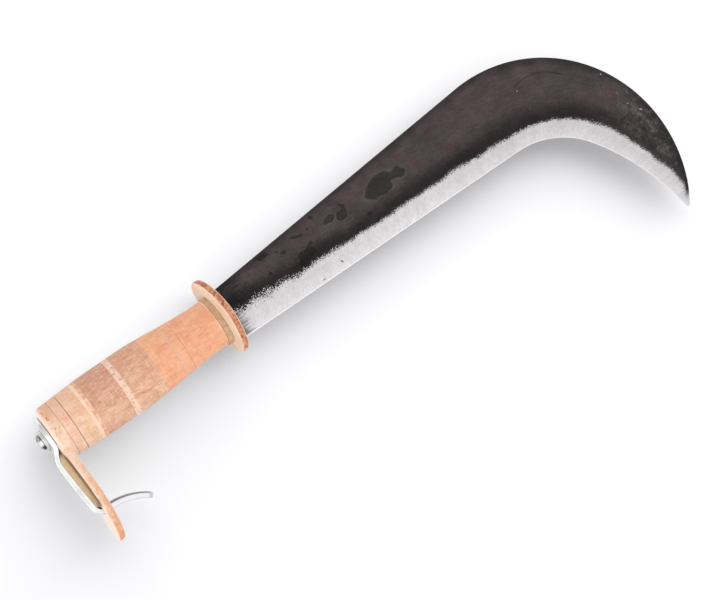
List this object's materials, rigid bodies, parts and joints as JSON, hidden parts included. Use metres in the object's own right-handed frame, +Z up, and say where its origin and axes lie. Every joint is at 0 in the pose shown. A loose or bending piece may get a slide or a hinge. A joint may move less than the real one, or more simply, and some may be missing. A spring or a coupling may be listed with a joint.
{
  "type": "billhook",
  "caption": "Billhook with a forged, inward-hooked blade ground along its inner edge, a stacked leather washer grip on a through tang, a leather guard disc and a steel belt hook.",
  "frame": {"origin": "on the tang axis, half way along the leather grip", "axes": "+X along the tang axis towards the blade, +Y towards the spine of the blade, +Z up, square to the middle plane of the blade, with the tool lying on its side"},
  "size_m": [0.4177, 0.1385, 0.049],
  "materials": {
    "forged_steel": "dark forge scale on the flats, bright brushed ground bevel along the edge",
    "bright_steel": "bright satin steel",
    "leather_orange": "orange-tan vegetable leather, sanded edge grain",
    "leather_grey": "greyed leather, sanded edge grain",
    "leather_rose": "rose-brown leather, sanded edge grain",
    "leather_brown": "brown leather, sanded edge grain",
    "leather_pale": "pale leather, sanded edge grain",
    "leather_tan": "light tan leather, sanded edge grain",
    "leather_peach": "light natural leather, smooth face and burnished edge",
    "leather_guard": "pale natural leather face, mottled burnished rim",
    "leather_spacer": "dark olive-tan leather, burnished edge"
  },
  "bodies": {
    "root": {"blade": "forged_steel", "guard_disc": "leather_guard", "guard_spacer": "leather_spacer", "grip_washer_01": "leather_orange", "grip_washer_02": "leather_orange", "grip_washer_03": "leather_orange", "grip_washer_04": "leather_orange", "grip_washer_05": "leather_orange", "grip_washer_06": "leather_orange", "grip_washer_07": "leather_grey", "grip_washer_08": "leather_orange", "grip_washer_09": "leather_orange", "grip_washer_10": "leather_orange", "grip_washer_11": "leather_rose", "grip_washer_12": "leather_rose", "grip_washer_13": "leather_rose", "grip_washer_14": "leather_rose", "grip_washer_15": "leather_pale", "grip_washer_16": "leather_brown", "grip_washer_17": "leather_brown", "grip_washer_18": "leather_brown", "grip_washer_19": "leather_brown", "grip_washer_20": "leather_pale", "grip_washer_21": "leather_tan", "grip_washer_22": "leather_tan", "grip_washer_23": "leather_peach", "butt_leather": "leather_peach", "belt_hook": "bright_steel", "burr_washer": "bright_steel"}
  },
  "joints": []
}
